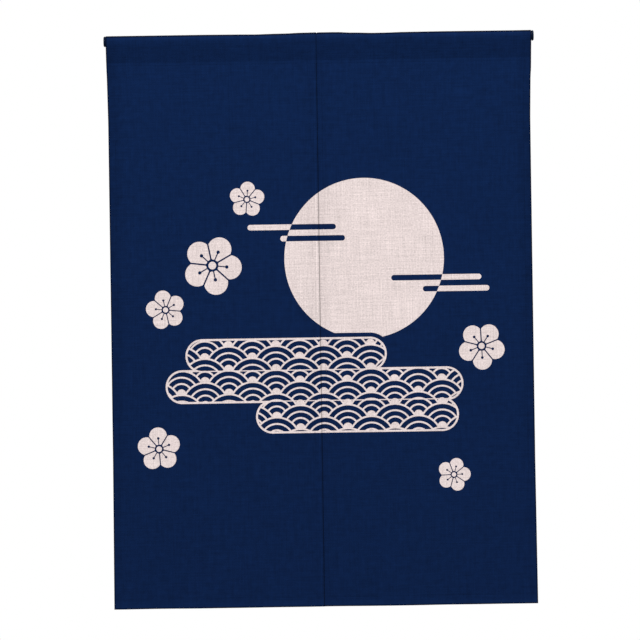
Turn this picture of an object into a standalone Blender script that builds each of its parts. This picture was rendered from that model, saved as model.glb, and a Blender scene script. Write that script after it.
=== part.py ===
"""Noren curtain: two hemmed cloth panels that share one rod pocket line, on a round tube with end caps.

Metres, +Z up. X runs along the rod, the front of the cloth faces -Y, and the origin is the middle of
the rod's axis. Each panel is one sheet: it starts at its bottom hem, goes up the front, over the rod
and down the back, and ends in the turned edge that is sewn to the front just under the rod.
"""

import math
from collections import namedtuple

import bmesh
import bpy
import numpy as np

COLLECTION_NAME = "noren_curtain"

# Rod, a thin tube with a plug in each end
ROD_RADIUS = 0.0090
ROD_WALL = 0.0008
ROD_HALF_LENGTH = 0.4287
CAP_RADIUS = 0.0105
CAP_FLANGE = 0.0040
CAP_ROUNDING = 0.0028
CAP_PLUG_DEPTH = 0.0120
FIT_GAP = 0.0003
TURNED_STEPS = 32
ROUNDING_STEPS = 4
MERGE_DISTANCE = 0.00001

# Cloth, with folded hems that are thicker than the open field
FIELD_THICKNESS = 0.0012
HEM_THICKNESS = 0.0018
SIDE_HEM = 0.0155
BOTTOM_HEM = 0.0210
HEM_STEP = 0.0018
HEM_TO_BACK_DROP = 0.040

# Hanging shape, heights measured from the rod's axis
CURTAIN_HEIGHT = 1.155
POCKET_DROP = 0.061
POCKET_ROUNDING = 0.12
CLOSED_ABOVE_SEAM = 0.006
TOP_HEIGHT = 0.0113
SEAM_HEIGHT = TOP_HEIGHT - POCKET_DROP
CLOSED_HEIGHT = SEAM_HEIGHT + CLOSED_ABOVE_SEAM
HEM_HEIGHT = TOP_HEIGHT - CURTAIN_HEIGHT
TAIL_BELOW_SEAM = 0.002
TAIL_TURN = 0.012
LAYER_GAP = 0.0004

# The slit, where the left panel's edge laps over the right panel's
SLIT_X = -0.0050
LAP_WIDTH = 0.0040
LAP_GAP = 0.0005
LAP_LIFT_WIDTH = 0.060
LAP_FLAT_WIDTH = 0.007

# Outline of the hanging cloth: where its outer sides lie at each drop below the top edge
SideStation = namedtuple("SideStation", "drop left right")
SIDE_STATIONS = (
    SideStation(drop=0.000, left=-0.4286, right=0.4279),
    SideStation(drop=0.055, left=-0.4284, right=0.4274),
    SideStation(drop=0.075, left=-0.4279, right=0.4270),
    SideStation(drop=0.093, left=-0.4274, right=0.4257),
    SideStation(drop=0.174, left=-0.4262, right=0.4240),
    SideStation(drop=0.537, left=-0.4264, right=0.4238),
    SideStation(drop=0.860, left=-0.4268, right=0.4236),
    SideStation(drop=1.155, left=-0.4285, right=0.4251),
)

# Play between the rod and the cloth over it, which makes the slightly wavy top edge
PlayStation = namedtuple("PlayStation", "x play")
PLAY_STATIONS = (
    PlayStation(x=-0.430, play=0.0011),
    PlayStation(x=-0.230, play=0.0011),
    PlayStation(x=-0.150, play=0.0006),
    PlayStation(x=-0.060, play=0.0010),
    PlayStation(x=0.025, play=0.0010),
    PlayStation(x=0.106, play=0.0006),
    PlayStation(x=0.210, play=0.0011),
    PlayStation(x=0.430, play=0.0011),
)

# Soft waves that run down the cloth and grow towards its free hem: depth and length in metres, phase
# in radians, and lean in radians for each metre of drop
Wave = namedtuple("Wave", "depth length phase lean")
WAVES = (
    Wave(depth=0.0026, length=0.330, phase=0.6, lean=1.05),
    Wave(depth=0.0015, length=0.190, phase=2.4, lean=-1.80),
    Wave(depth=0.0007, length=0.113, phase=4.1, lean=2.70),
)
WAVE_START_SHARE = 0.25
WAVE_START_DROP = 0.25

# Outer sides that curl back a little below the pocket
EDGE_CURL = 0.0022
EDGE_CURL_WIDTH = 0.035
EDGE_CURL_DROP = 0.20

# Grid of each panel, and how many of its lines lie on each hem
FIELD_COLUMNS = 11
HANG_ROWS = 25
POCKET_ROWS = 6
LOOP_ROWS = 10
BACK_ROWS = 5
SIDE_HEM_LINES = 2
BOTTOM_HEM_LINES = 2
TAIL_LINES = 4

# Plain surfaces, colours in linear light
Surface = namedtuple("Surface", "name colour roughness metallic")
NAVY_CLOTH = Surface(name="navy_cloth", colour=(0.0028, 0.0142, 0.0622), roughness=0.90, metallic=0.0)
TUBE_PAINT = Surface(name="black_tube_paint", colour=(0.0036, 0.0078, 0.0220), roughness=0.50, metallic=0.0)
CAP_RUBBER = Surface(name="navy_rubber", colour=(0.0022, 0.0082, 0.0270), roughness=0.75, metallic=0.0)


def clear_scene():
    for item in list(bpy.data.objects):
        bpy.data.objects.remove(item, do_unlink=True)


def make_material(surface):
    material = bpy.data.materials.new(surface.name)
    material.use_nodes = True
    shader = material.node_tree.nodes["Principled BSDF"]
    shader.inputs["Base Color"].default_value = (*surface.colour, 1.0)
    shader.inputs["Roughness"].default_value = surface.roughness
    shader.inputs["Metallic"].default_value = surface.metallic
    material.diffuse_color = (*surface.colour, 1.0)
    return material


def add_object(name, mesh, collection, material, parent):
    mesh.materials.append(material)
    obj = bpy.data.objects.new(name, mesh)
    collection.objects.link(obj)
    obj.parent = parent
    return obj


def smooth_ramp(value):
    """0 up to 0, 1 from 1 on, and an even S between them."""
    clipped = np.clip(value, 0.0, 1.0)
    return clipped * clipped * (3.0 - 2.0 * clipped)


def turned_mesh(name, profile, closed):
    """Chain of points (radius, height) in the XZ plane, ready for a Screw modifier about Z."""
    bm = bmesh.new()
    points = [bm.verts.new((radius, 0.0, height)) for radius, height in profile]
    for start, end in zip(points, points[1:]):
        bm.edges.new((start, end))
    if closed:
        bm.edges.new((points[-1], points[0]))
    mesh = bpy.data.meshes.new(name)
    bm.to_mesh(mesh)
    bm.free()
    return mesh


def turn(obj):
    screw = obj.modifiers.new("Turned", "SCREW")
    screw.steps = TURNED_STEPS
    screw.render_steps = TURNED_STEPS
    screw.use_merge_vertices = True
    screw.merge_threshold = MERGE_DISTANCE
    screw.use_smooth_shade = True


def build_rod(collection, material, parent):
    bore = ROD_RADIUS - ROD_WALL
    profile = (
        (ROD_RADIUS, ROD_HALF_LENGTH),
        (ROD_RADIUS, -ROD_HALF_LENGTH),
        (bore, -ROD_HALF_LENGTH),
        (bore, ROD_HALF_LENGTH),
    )
    rod = add_object("rod", turned_mesh("rod", profile, closed=True), collection, material, parent)
    turn(rod)
    rod.rotation_euler = (0.0, math.pi / 2.0, 0.0)


def build_cap(name, side, collection, material, parent):
    """Flange with a rounded rim outside the tube, and a plug inside it; side is -1 left, +1 right."""
    plug_radius = ROD_RADIUS - ROD_WALL - FIT_GAP
    profile = [(0.0, CAP_FLANGE)]
    for step in range(ROUNDING_STEPS + 1):
        angle = step / ROUNDING_STEPS * math.pi / 2.0
        radius = CAP_RADIUS - CAP_ROUNDING * (1.0 - math.sin(angle))
        height = CAP_FLANGE - CAP_ROUNDING * (1.0 - math.cos(angle))
        profile.append((radius, height))
    profile += [
        (CAP_RADIUS, 0.0),
        (plug_radius, 0.0),
        (plug_radius, -CAP_PLUG_DEPTH),
        (0.0, -CAP_PLUG_DEPTH),
    ]
    cap = add_object(name, turned_mesh(name, profile, closed=False), collection, material, parent)
    turn(cap)
    cap.location = (side * (ROD_HALF_LENGTH + FIT_GAP), 0.0, 0.0)
    cap.rotation_euler = (0.0, side * math.pi / 2.0, 0.0)


def column_places(width):
    """Distances from a panel's left side: a line each side of both hem steps, and even ones between."""
    edge = SIDE_HEM - HEM_STEP
    field = np.linspace(SIDE_HEM, width - SIDE_HEM, FIELD_COLUMNS)
    return np.concatenate(([0.0, edge], field, [width - edge, width]))


def row_heights():
    """Heights of the rows up the front to the seam, on up the pocket's front, and down its back."""
    hem_rows = HEM_HEIGHT + np.array([0.0, BOTTOM_HEM - HEM_STEP])
    hang_rows = np.linspace(HEM_HEIGHT + BOTTOM_HEM, SEAM_HEIGHT, HANG_ROWS)
    pocket_rows = np.linspace(CLOSED_HEIGHT, 0.0, POCKET_ROWS)
    tail_end = SEAM_HEIGHT - TAIL_BELOW_SEAM
    tail_top = tail_end + TAIL_TURN
    back_rows = np.linspace(0.0, tail_top + HEM_STEP, BACK_ROWS)
    tail_rows = np.array([tail_top, CLOSED_HEIGHT, SEAM_HEIGHT, tail_end])
    return np.concatenate((hem_rows, hang_rows)), pocket_rows, np.concatenate((back_rows, tail_rows))


def wave_depth(x, height):
    """How far the waves push the cloth back: a share soon below the seam, and all of it at the hem."""
    drop = SEAM_HEIGHT - height
    start = WAVE_START_SHARE * smooth_ramp(drop / WAVE_START_DROP)
    growth = start + (1.0 - WAVE_START_SHARE) * smooth_ramp(drop / (SEAM_HEIGHT - HEM_HEIGHT))
    total = np.zeros_like(x)
    for wave in WAVES:
        total += wave.depth * np.sin(2.0 * math.pi * x / wave.length + wave.phase + wave.lean * drop)
    return growth * total


def panel_points(is_left):
    """Outer face of one panel as arrays of points [row, column], and its hem weights.

    Every row lies at one place along the path hem, front, over the rod, back. A row's points run
    from the panel's left side to its right side. On the loop over the rod a point is at
    (radius * cos, radius * sin) of the row's angle. Below it the half depth closes from that radius
    to the seam's along a hyperbola, hypot(share, r) - r, which starts plumb at the rod and soon runs
    straight, as taut cloth does. Just under the seam the hems' extra thickness moves to the back,
    which leaves the hanging front flush.
    """
    front_z, pocket_z, back_z = row_heights()
    angles = np.linspace(0.0, math.pi, LOOP_ROWS + 1)[1:-1]
    loop_z = np.sin(angles) * TOP_HEIGHT
    height = np.concatenate((front_z, pocket_z, loop_z, back_z))
    rows = len(height)
    loop_start = len(front_z) + len(pocket_z)
    loop_end = loop_start + len(angles)
    is_back = np.arange(rows) >= loop_end

    drops = TOP_HEIGHT - height
    stations = np.array(SIDE_STATIONS)
    left_side = np.interp(drops, stations[:, 0], stations[:, 1])
    right_side = np.interp(drops, stations[:, 0], stations[:, 2])
    if is_left:
        right_side = np.full(rows, SLIT_X)
    else:
        left_side = np.full(rows, SLIT_X - LAP_WIDTH)
    nominal_width = float(right_side[0] - left_side[0])
    places = column_places(nominal_width)
    columns = len(places)
    x = left_side[:, None] + places[None, :] / nominal_width * (right_side - left_side)[:, None]
    z = np.repeat(height[:, None], columns, axis=1)

    hem_weight = np.zeros((rows, columns))
    hem_weight[:, :SIDE_HEM_LINES] = 1.0
    hem_weight[:, -SIDE_HEM_LINES:] = 1.0
    hem_weight[:BOTTOM_HEM_LINES, :] = 1.0
    hem_weight[-TAIL_LINES:, :] = 1.0
    thickness = FIELD_THICKNESS + (HEM_THICKNESS - FIELD_THICKNESS) * hem_weight

    lap = np.zeros_like(x)
    if is_left:
        lap_shape = (LAP_LIFT_WIDTH - np.abs(x - SLIT_X)) / (LAP_LIFT_WIDTH - LAP_FLAT_WIDTH)
        lap = (HEM_THICKNESS + LAP_GAP) * smooth_ramp(lap_shape)
    play_table = np.array(PLAY_STATIONS)
    play = np.interp(x, play_table[:, 0], play_table[:, 1])

    radius = ROD_RADIUS + play + thickness + lap
    hem_to_back = smooth_ramp((SEAM_HEIGHT - z) / HEM_TO_BACK_DROP)
    seam_depth = LAYER_GAP / 2.0 + thickness + lap - (thickness - FIELD_THICKNESS) * hem_to_back
    below = np.clip(z / CLOSED_HEIGHT, 0.0, 1.0)
    closed = np.hypot(below, POCKET_ROUNDING) - POCKET_ROUNDING
    closed /= math.hypot(1.0, POCKET_ROUNDING) - POCKET_ROUNDING
    half_depth = radius + (seam_depth - radius) * closed
    y = np.where(is_back[:, None], half_depth, -half_depth)
    loop = slice(loop_start, loop_end)
    y[loop] = -radius[loop] * np.cos(angles)[:, None]
    z[loop] = radius[loop] * np.sin(angles)[:, None]

    hanging = ~is_back
    outer = left_side if is_left else right_side
    to_side = np.abs(x - outer[:, None])
    curl = EDGE_CURL * np.clip(1.0 - to_side / EDGE_CURL_WIDTH, 0.0, 1.0) ** 2
    curl *= smooth_ramp((SEAM_HEIGHT - z) / EDGE_CURL_DROP)
    y[hanging] += (wave_depth(x, z) + curl)[hanging]
    return np.stack((x, y, z), axis=-1), hem_weight


def build_panel(name, is_left, collection, material, parent):
    points, hem_weight = panel_points(is_left)
    rows, columns = hem_weight.shape
    bm = bmesh.new()
    bmesh.ops.create_grid(bm, x_segments=columns - 1, y_segments=rows - 1, size=0.5)
    places = [(round((v.co.y + 0.5) * (rows - 1)), round((v.co.x + 0.5) * (columns - 1))) for v in bm.verts]
    for vertex, place in zip(bm.verts, places):
        vertex.co = points[place]
    mesh = bpy.data.meshes.new(name)
    bm.to_mesh(mesh)
    bm.free()
    mesh.shade_smooth()
    panel = add_object(name, mesh, collection, material, parent)
    hem = panel.vertex_groups.new(name="hem")
    for index, place in enumerate(places):
        hem.add([index], float(hem_weight[place]), "REPLACE")
    cloth = panel.modifiers.new("Cloth thickness", "SOLIDIFY")
    cloth.thickness = HEM_THICKNESS
    cloth.offset = -1.0
    cloth.vertex_group = hem.name
    cloth.thickness_vertex_group = FIELD_THICKNESS / HEM_THICKNESS


def main():
    clear_scene()
    collection = bpy.data.collections.new(COLLECTION_NAME)
    bpy.context.scene.collection.children.link(collection)
    centre = bpy.data.objects.new("rod_axis_middle", None)
    collection.objects.link(centre)

    build_rod(collection, make_material(TUBE_PAINT), centre)
    for name, side in (("rod_cap_left", -1), ("rod_cap_right", 1)):
        build_cap(name, side, collection, make_material(CAP_RUBBER), centre)
    for name, is_left in (("panel_left", True), ("panel_right", False)):
        build_panel(name, is_left, collection, make_material(NAVY_CLOTH), centre)


main()
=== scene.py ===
# %% [markdown]
# # A noren on its rod
#
# A noren is a short split curtain for a doorway. This one has two hemmed cloth panels. Each is folded
# back over a thin tube and sewn to itself just below, which makes the pocket that the tube runs through.
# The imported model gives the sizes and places. This lesson lays fine cloth, thread, dye and rubber on it.

# %% Load the frame
import math
from collections import namedtuple

import bpy
import numpy as np
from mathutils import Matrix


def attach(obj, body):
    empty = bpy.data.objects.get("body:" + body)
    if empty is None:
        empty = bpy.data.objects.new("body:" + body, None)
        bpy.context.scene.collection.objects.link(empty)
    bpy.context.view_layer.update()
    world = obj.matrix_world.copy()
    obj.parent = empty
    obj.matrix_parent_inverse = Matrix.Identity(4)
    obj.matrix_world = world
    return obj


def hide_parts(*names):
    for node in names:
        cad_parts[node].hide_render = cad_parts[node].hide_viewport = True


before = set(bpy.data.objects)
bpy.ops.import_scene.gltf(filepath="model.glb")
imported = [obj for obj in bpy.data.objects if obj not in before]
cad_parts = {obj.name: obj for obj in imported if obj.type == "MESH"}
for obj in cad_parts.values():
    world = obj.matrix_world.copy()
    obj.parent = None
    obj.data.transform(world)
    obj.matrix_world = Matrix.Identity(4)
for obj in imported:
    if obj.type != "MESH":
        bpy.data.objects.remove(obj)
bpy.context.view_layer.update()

BODY = "root"

# %% [markdown]
# ## Where the viewer stands
#
# The curtain was photographed square on, turned by just under a degree. A camera far away with a narrow
# lens keeps both sides of the cloth parallel. A turn about its own line of sight gives the tilt, so the
# object itself stays level.

# %% Camera
VIEW_WIDTH = 1.2888
VIEW_CENTRE = (-0.0057, -0.5666)
VIEW_DISTANCE = 8.0
VIEW_ROLL = math.radians(0.87)
SENSOR_WIDTH = 0.036

camera_data = bpy.data.cameras.new("camera")
camera_data.sensor_width = SENSOR_WIDTH * 1000.0
camera_data.lens = SENSOR_WIDTH * 1000.0 * VIEW_DISTANCE / VIEW_WIDTH
camera = bpy.data.objects.new("camera", camera_data)
camera.location = (VIEW_CENTRE[0], -VIEW_DISTANCE, VIEW_CENTRE[1])
camera.rotation_euler = (math.pi / 2.0, VIEW_ROLL, 0.0)
bpy.context.scene.collection.objects.link(camera)
bpy.context.scene.camera = camera
print("camera lens in mm:", round(camera_data.lens, 1))

# %% [markdown]
# ## Studio light
#
# Product pictures of cloth use a bright, almost shadowless room with one large soft lamp above the
# viewer. It makes the top of the cloth a little lighter than the hem, and it leaves a soft shade under the
# rod where the cloth leans away from it. A weaker lamp behind lights the back. The camera sees a plain
# white room, but the room's own light is weaker.

# %% World, lamps and floor
ROOM_LIGHT = 0.38
FLOOR_HEIGHT = -1.86
FLOOR_RADIUS = 2.2
FLOOR_SIDES = 96
FLOOR_ROUGHNESS = 0.7
FLOOR_SPECULAR = 0.5
PALE_FLOOR = (0.62, 0.61, 0.60, 1.0)
Lamp = namedtuple("Lamp", "name place aim size power")
LAMPS = (
    Lamp("key_lamp", (0.0, -7.0, 7.97), (0.0, 0.0, -0.57), (5.2, 2.8), 1152.0),
    Lamp("rear_lamp", (0.7, 3.0, 1.6), (0.0, 0.0, -0.5), (2.4, 1.6), 85.0),
)


def new_surface(name, roughness, specular):
    """A new material, its node tree and its Principled shader with these values."""
    material = bpy.data.materials.new(name)
    material.use_nodes = True
    shader = material.node_tree.nodes["Principled BSDF"]
    shader.inputs["Roughness"].default_value = roughness
    shader.inputs["Specular IOR Level"].default_value = specular
    return material, material.node_tree, shader


def add_lamp(lamp):
    """An area lamp that points from its place to its aim: it tilts by atan2(level distance, drop)."""
    data = bpy.data.lights.new(lamp.name, "AREA")
    data.shape = "RECTANGLE"
    data.size, data.size_y = lamp.size
    data.energy = lamp.power
    light = bpy.data.objects.new(lamp.name, data)
    light.location = lamp.place
    way = np.subtract(lamp.aim, lamp.place)
    flat = math.hypot(way[0], way[1])
    light.rotation_euler = (math.atan2(flat, -way[2]), 0.0, math.atan2(-way[0], way[1]))
    bpy.context.scene.collection.objects.link(light)


world = bpy.data.worlds.new("white_room")
bpy.context.scene.world = world
world.use_nodes = True
room = world.node_tree
room_light = room.nodes["Background"]
room_light.inputs["Color"].default_value = (1.0, 1.0, 1.0, 1.0)
seen = room.nodes.new("ShaderNodeLightPath").outputs["Is Camera Ray"]
room_strength = room.nodes.new("ShaderNodeMapRange")
room_strength.inputs["To Min"].default_value = ROOM_LIGHT
room_strength.inputs["To Max"].default_value = 1.0
room.links.new(seen, room_strength.inputs["Value"])
room.links.new(room_strength.outputs["Result"], room_light.inputs["Strength"])
for lamp in LAMPS:
    add_lamp(lamp)

bpy.ops.mesh.primitive_circle_add(vertices=FLOOR_SIDES, radius=FLOOR_RADIUS, fill_type="NGON")
floor = bpy.context.object
floor.name = "floor"
floor.location = (0.0, 0.0, FLOOR_HEIGHT)
pale_floor, _, floor_shader = new_surface("pale_floor", FLOOR_ROUGHNESS, FLOOR_SPECULAR)
floor_shader.inputs["Base Color"].default_value = PALE_FLOOR
floor.data.materials.append(pale_floor)
bpy.context.scene.view_settings.view_transform = "Standard"
print("lamps:", [lamp.name for lamp in LAMPS])

# %% [markdown]
# ## The sizes that the cloth hangs by
#
# All sizes are in metres, and heights are measured from the rod's axis. The outline, the pocket and the
# slit have the model's own sizes. The fine cloth is thinner than the solid that it stands for, and its
# hems are folded three layers thick.

# %% Hanging sizes
ROD_RADIUS = 0.0090
CURTAIN_HEIGHT = 1.155
POCKET_DROP = 0.061
CLOSED_ABOVE_SEAM = 0.006
TOP_HEIGHT = 0.0113
SEAM_HEIGHT = TOP_HEIGHT - POCKET_DROP
HEM_HEIGHT = TOP_HEIGHT - CURTAIN_HEIGHT
TAIL_BELOW_SEAM = 0.002
TAIL_TURN = 0.012
LAYER_GAP = 0.0004
SLIT_X = -0.0050
LAP_WIDTH = 0.0040
LAP_GAP = 0.0007
LAP_LIFT_WIDTH = 0.060
LAP_FLAT_WIDTH = 0.007
POCKET_ROUNDING = 0.12

FIELD_THICKNESS = 0.0005
HEM_THICKNESS = 0.0013
SIDE_HEM = 0.0155
BOTTOM_HEM = 0.0210
HEM_STEP = 0.0009
SIDE_STITCH = 0.0140
BOTTOM_STITCH = 0.0195
print("seam at", round(SEAM_HEIGHT, 4), "m and hem at", round(HEM_HEIGHT, 4), "m")

# %% [markdown]
# ## Sides, play and panels
#
# A panel's outer side isn't quite straight: it steps in below the stiff pocket and leans out again
# towards the hem. Play is the room between the rod and the cloth that goes over it. It changes along the
# rod, so the top edge rises and dips by a millimetre or so. LOOP_PLAY is an even play that gives the
# loop's length. At the slit the left panel laps over the right one.

# %% Stations and panels
SideStation = namedtuple("SideStation", "drop left right")
SIDE_STATIONS = [SideStation(*row) for row in (
    (0.000, -0.4286, 0.4279),
    (0.055, -0.4284, 0.4274),
    (0.075, -0.4279, 0.4270),
    (0.093, -0.4274, 0.4257),
    (0.174, -0.4262, 0.4240),
    (0.537, -0.4264, 0.4238),
    (0.860, -0.4268, 0.4236),
    (1.155, -0.4285, 0.4251),
)]
LOOP_PLAY = 0.0019
PlayRow = namedtuple("PlayRow", "x play")
PLAY_ROWS = [PlayRow(*row) for row in (
    (-0.230, 0.0017),
    (-0.165, 0.0013),
    (-0.125, 0.0008),
    (-0.093, 0.0016),
    (-0.044, 0.0021),
    (-0.022, 0.0011),
    (-0.005, 0.0012),
    (-0.0025, 0.0031),
    (0.028, 0.0032),
    (0.044, 0.0029),
    (0.060, 0.0018),
    (0.077, 0.0016),
    (0.106, 0.0005),
    (0.141, 0.0007),
    (0.165, 0.0014),
    (0.254, 0.0017),
    (0.391, 0.0014),
    (0.428, 0.0016),
)]
Panel = namedtuple("Panel", "node stitches left_x right_x is_left")
PANELS = (
    Panel("panel_left", "stitches_left", SIDE_STATIONS[0].left, SLIT_X, True),
    Panel("panel_right", "stitches_right", SLIT_X - LAP_WIDTH, SIDE_STATIONS[0].right, False),
)
for panel in PANELS:
    print(panel.node, "is", round(panel.right_x - panel.left_x, 4), "m wide")

# %% [markdown]
# ## Waves and creases
#
# Three sine waves that lean a little grow from the seam to the hem. Creases are soft dents, each a bell
# across and a longer bell along. A cloth simulation would find nearly the same flat shape after a long
# run, but it wouldn't keep the measured outline. Waves and creases given one by one keep it.

# %% Waves and creases
Wave = namedtuple("Wave", "depth length phase lean")
WAVES = [Wave(*row) for row in (
    (0.0026, 0.330, 0.6, 1.05),
    (0.0015, 0.190, 2.4, -1.80),
    (0.0007, 0.113, 4.1, 2.70),
)]
WAVE_START_SHARE = 0.25
WAVE_START_DROP = 0.25
Crease = namedtuple("Crease", "x drop slope width length depth")
CREASES = [Crease(*row) for row in (
    (-0.205, 0.905, 0.16, 0.026, 0.130, 0.0011),
    (-0.118, 0.980, -0.10, 0.021, 0.110, -0.0008),
    (-0.330, 0.760, 0.07, 0.030, 0.170, 0.0009),
    (0.062, 0.940, 0.12, 0.022, 0.120, -0.0009),
    (0.165, 0.900, -0.17, 0.025, 0.130, 0.0012),
    (0.300, 0.640, -0.05, 0.031, 0.180, 0.0008),
    (-0.150, 0.330, -0.04, 0.034, 0.160, -0.0006),
    (0.215, 0.300, 0.09, 0.030, 0.150, 0.0007),
)]


def smooth_ramp(value):
    """0 up to 0, 1 from 1 on, and an even S between them."""
    clipped = np.clip(value, 0.0, 1.0)
    return clipped * clipped * (3.0 - 2.0 * clipped)


def bell(distance, width):
    """1 at distance 0, falling off evenly to almost nothing at twice the width."""
    return np.exp(-((distance / width) ** 2))


def wave_depth(x, height):
    """Sum of leaning sine waves times a growth that starts at the seam, plus a bell for each crease."""
    drop = SEAM_HEIGHT - height
    start = WAVE_START_SHARE * smooth_ramp(drop / WAVE_START_DROP)
    growth = start + (1.0 - WAVE_START_SHARE) * smooth_ramp(drop / (SEAM_HEIGHT - HEM_HEIGHT))
    total = np.zeros_like(x)
    for wave in WAVES:
        total += wave.depth * np.sin(2.0 * math.pi * x / wave.length + wave.phase + wave.lean * drop)
    total *= growth
    for crease in CREASES:
        along = TOP_HEIGHT - height - crease.drop
        across = x - crease.x - crease.slope * along
        total += crease.depth * bell(across, crease.width) * bell(along, crease.length)
    return total


print(len(WAVES), "waves and", len(CREASES), "creases")

# %% [markdown]
# ## One formula for a hanging panel
#
# The whole panel is one surface of two parameters. *Place* is the distance from the panel's left side.
# *Path* is the way along the cloth from its bottom edge: up the front, half round the rod and down the
# back. From the rod down, both layers run almost straight to where they meet just above the seam. Below
# it the front hangs plumb but for the waves, and its outer edge curls back a little.
#
# A hem's extra layers lie on the inside. Over the rod they take up some of the play, so the outer face
# stays level there.

# %% The surface
EDGE_CURL = 0.0022
EDGE_CURL_WIDTH = 0.035
EDGE_CURL_DROP = 0.20
HEM_TO_BACK_DROP = 0.040
STITCH_SINK = 0.00022
STITCH_SINK_WIDTH = 0.0017
NORMAL_STEP = 0.0004
LOOP_RADIUS = ROD_RADIUS + LOOP_PLAY + FIELD_THICKNESS
FRONT_PATH = -HEM_HEIGHT
LOOP_PATH = math.pi * LOOP_RADIUS
TAIL_PATH = FRONT_PATH + LOOP_PATH + TAIL_BELOW_SEAM - SEAM_HEIGHT
SEAM_PATH = SEAM_HEIGHT - HEM_HEIGHT
BACK_SEAM_PATH = TAIL_PATH - TAIL_BELOW_SEAM


def cloth_thickness(panel, place, path):
    """Field thickness, rising over one short S to the hem thickness in each folded band; and that S."""
    width = panel.right_x - panel.left_x
    to_side = np.minimum(place, width - place)
    to_end = np.minimum(path + SIDE_HEM - BOTTOM_HEM, TAIL_PATH - path + SIDE_HEM - TAIL_TURN)
    hem = smooth_ramp((SIDE_HEM + HEM_STEP / 2.0 - np.minimum(to_side, to_end)) / HEM_STEP)
    return FIELD_THICKNESS + (HEM_THICKNESS - FIELD_THICKNESS) * hem, hem


def stitch_sink(panel, place, path):
    """Depth of the shallow groove along each line of stitches: a bell of the distance to the nearest."""
    width = panel.right_x - panel.left_x
    to_side = np.abs(np.minimum(place, width - place) - SIDE_STITCH)
    to_row = np.minimum(np.abs(path - BOTTOM_STITCH), np.abs(path - SEAM_PATH))
    to_row = np.minimum(to_row, np.abs(path - BACK_SEAM_PATH))
    return STITCH_SINK * np.maximum(bell(to_side, STITCH_SINK_WIDTH), bell(to_row, STITCH_SINK_WIDTH))


def side_to_side(panel, place, height):
    """x, which is side plus place / width times the way to the other side, and the outer side's x."""
    drop = TOP_HEIGHT - np.where(height < 0.0, height, TOP_HEIGHT)
    drops, lefts, rights = np.transpose(SIDE_STATIONS)
    outer_x = np.interp(drop, drops, lefts if panel.is_left else rights)
    from_x = outer_x if panel.is_left else np.full_like(drop, panel.left_x)
    to_x = np.full_like(drop, panel.right_x) if panel.is_left else outer_x
    width = panel.right_x - panel.left_x
    return from_x + place / width * (to_x - from_x), outer_x


def lap_lift(panel, x):
    """How far the left panel is lifted to pass over the right one: flat at the slit, then a falling S."""
    if not panel.is_left:
        return np.zeros_like(x)
    rise = (LAP_LIFT_WIDTH - np.abs(x - SLIT_X)) / (LAP_LIFT_WIDTH - LAP_FLAT_WIDTH)
    return (HEM_THICKNESS + LAP_GAP) * smooth_ramp(rise)


def half_pocket_depth(radius, seam_depth, height):
    """Radius at the rod's axis, closing to the seam's depth along a hyperbola, hypot(share, r) - r."""
    below = np.clip(height / (SEAM_HEIGHT + CLOSED_ABOVE_SEAM), 0.0, 1.0)
    closed = np.hypot(below, POCKET_ROUNDING) - POCKET_ROUNDING
    closed /= math.hypot(1.0, POCKET_ROUNDING) - POCKET_ROUNDING
    return radius - (radius - seam_depth) * closed


def cloth_face(panel, place, path):
    """Points of the panel's outer face.

    Front: height is path minus FRONT_PATH, so it is 0 at the rod's axis. Loop: angle is that path over
    LOOP_RADIUS, and the point is (-radius * cos, radius * sin) of it. Back: height is minus the path past
    the loop. Radius is the rod's radius plus play, one layer of cloth and the lap's lift.
    """
    angle = np.clip((path - FRONT_PATH) / LOOP_RADIUS, 0.0, math.pi)
    is_back = path > FRONT_PATH + LOOP_PATH / 2.0
    height = np.where(is_back, FRONT_PATH + LOOP_PATH - path, path - FRONT_PATH)
    height = np.minimum(height, 0.0)
    x, outer_x = side_to_side(panel, place, height)
    lap = lap_lift(panel, x)
    play = np.interp(x, *np.transpose(PLAY_ROWS))
    radius = ROD_RADIUS + play + FIELD_THICKNESS + lap
    thickness, _ = cloth_thickness(panel, place, path)
    hem_to_back = smooth_ramp((SEAM_HEIGHT - height) / HEM_TO_BACK_DROP)
    seam_depth = LAYER_GAP / 2.0 + thickness + lap - (thickness - FIELD_THICKNESS) * hem_to_back
    sink = stitch_sink(panel, place, path)
    half_depth = half_pocket_depth(radius, seam_depth, height) - np.where(path > SEAM_PATH, sink, 0.0)

    y = np.where(is_back, half_depth, -half_depth)
    on_loop = (path > FRONT_PATH) & (path < FRONT_PATH + LOOP_PATH)
    y = np.where(on_loop, -radius * np.cos(angle), y)
    z = np.where(on_loop, radius * np.sin(angle), height)

    curl = EDGE_CURL * np.clip(1.0 - np.abs(x - outer_x) / EDGE_CURL_WIDTH, 0.0, 1.0) ** 2
    curl *= smooth_ramp((SEAM_HEIGHT - z) / EDGE_CURL_DROP)
    hanging = wave_depth(x, z) * smooth_ramp((SEAM_HEIGHT - z) / HEM_TO_BACK_DROP) + curl
    y = y + np.where(is_back, 0.0, hanging + np.where(path <= SEAM_PATH, sink, 0.0))
    return np.stack((x, y, z), axis=-1)


def inward(panel, place, path):
    """Unit normal that points into the cloth: minus the cross product of the face's two tangents."""
    left = cloth_face(panel, place - NORMAL_STEP, path)
    across = cloth_face(panel, place + NORMAL_STEP, path) - left
    before = cloth_face(panel, place, path - NORMAL_STEP)
    along = cloth_face(panel, place, path + NORMAL_STEP) - before
    normal = np.cross(across, along)
    return -normal / np.linalg.norm(normal, axis=-1, keepdims=True)


print("path lengths: front", round(FRONT_PATH, 4), "whole panel", round(TAIL_PATH, 4))

# %% [markdown]
# ## Rows and columns
#
# The cloth's mesh is a grid of rows along the path and columns across. It is finer at the folds and round
# each line of stitches, and coarse on the open field.

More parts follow.
